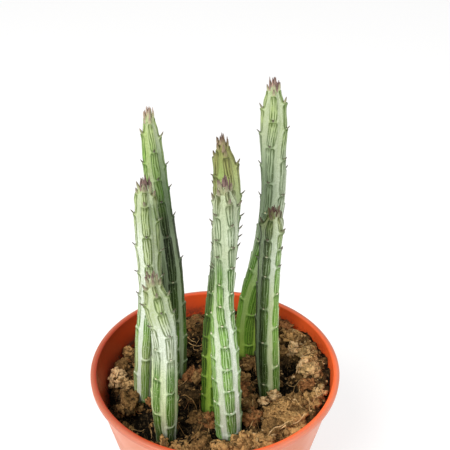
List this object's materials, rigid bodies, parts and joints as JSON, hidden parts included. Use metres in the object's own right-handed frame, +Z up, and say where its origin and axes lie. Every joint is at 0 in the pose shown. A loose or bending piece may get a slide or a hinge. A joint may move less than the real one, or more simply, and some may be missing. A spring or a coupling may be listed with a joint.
{
  "type": "potted stapelia-like stem succulent",
  "caption": "Potted succulent: upright leafy-ribbed green stems standing in loose potting soil in a thin tapered plastic grower pot, for display as a live houseplant.",
  "frame": {"origin": "centre of the pot's flat base, on the surface that it stands on", "axes": "+Z up along the pot's own axis, -Y towards the side that the plant is seen from, +X to the right from there"},
  "size_m": [0.1, 0.1, 0.1892],
  "materials": {
    "pot_plastic": "thin terracotta-orange moulded plastic with a soft sheen",
    "potting_soil": "loose brown fibrous potting mix, rough and dull",
    "stem_green": "green succulent skin with a pale waxy bloom, striped along its ribs, pinkish brown at the tips"
  },
  "bodies": {
    "root": {"pot": "pot_plastic", "soil": "potting_soil", "stem_1": "stem_green", "stem_2": "stem_green", "stem_3": "stem_green", "stem_4": "stem_green", "stem_5": "stem_green", "stem_6": "stem_green", "stem_7": "stem_green"}
  },
  "joints": []
}
